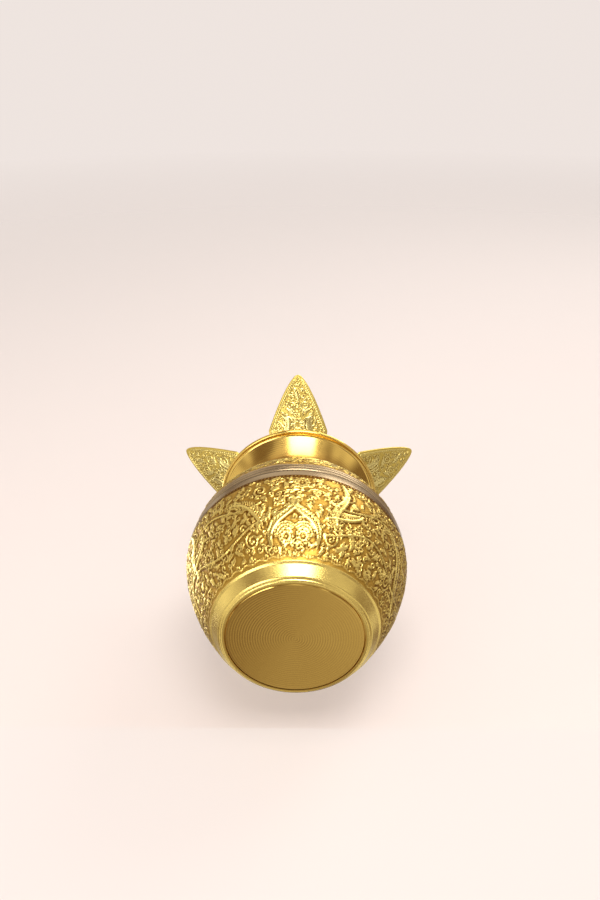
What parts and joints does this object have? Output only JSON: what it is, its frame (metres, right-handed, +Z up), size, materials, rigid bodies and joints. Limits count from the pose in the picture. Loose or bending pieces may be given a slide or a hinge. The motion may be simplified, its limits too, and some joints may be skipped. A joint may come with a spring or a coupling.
{
  "type": "lota with leaf crown",
  "caption": "Round-bellied metal water pot with an embossed bowl, a grooved silver-toned band, a flared lip and a lift-out crown of leaves standing round its mouth.",
  "frame": {"origin": "centre of the flat face that the pot stands on", "axes": "+Z up along the pot's axis towards its mouth, leaf_1 points towards -Y"},
  "size_m": [0.1224, 0.1163, 0.124],
  "materials": {
    "embossed_brass": "gold-toned brass, embossed, satin ground with bright raised lines",
    "polished_brass": "gold-toned brass, mirror polished",
    "silver_tone": "silver-toned plating, polished, with turned grooves",
    "leaf_brass": "pale gold-toned sheet, pressed relief inside a plain margin"
  },
  "bodies": {
    "pot": {"bowl": "embossed_brass", "base_disc": "polished_brass", "belly_band": "silver_tone", "shoulder": "embossed_brass", "neck_and_lip": "polished_brass"},
    "crown": {"crown_ring": "leaf_brass", "leaf_1": "leaf_brass", "leaf_2": "leaf_brass", "leaf_3": "leaf_brass", "leaf_4": "leaf_brass", "leaf_5": "leaf_brass"}
  },
  "joints": [
    {"name": "crown_lift", "type": "slide", "parent": "pot", "child": "crown", "axis": [0, 0, 1], "range_m": [0, 0.04]}
  ]
}
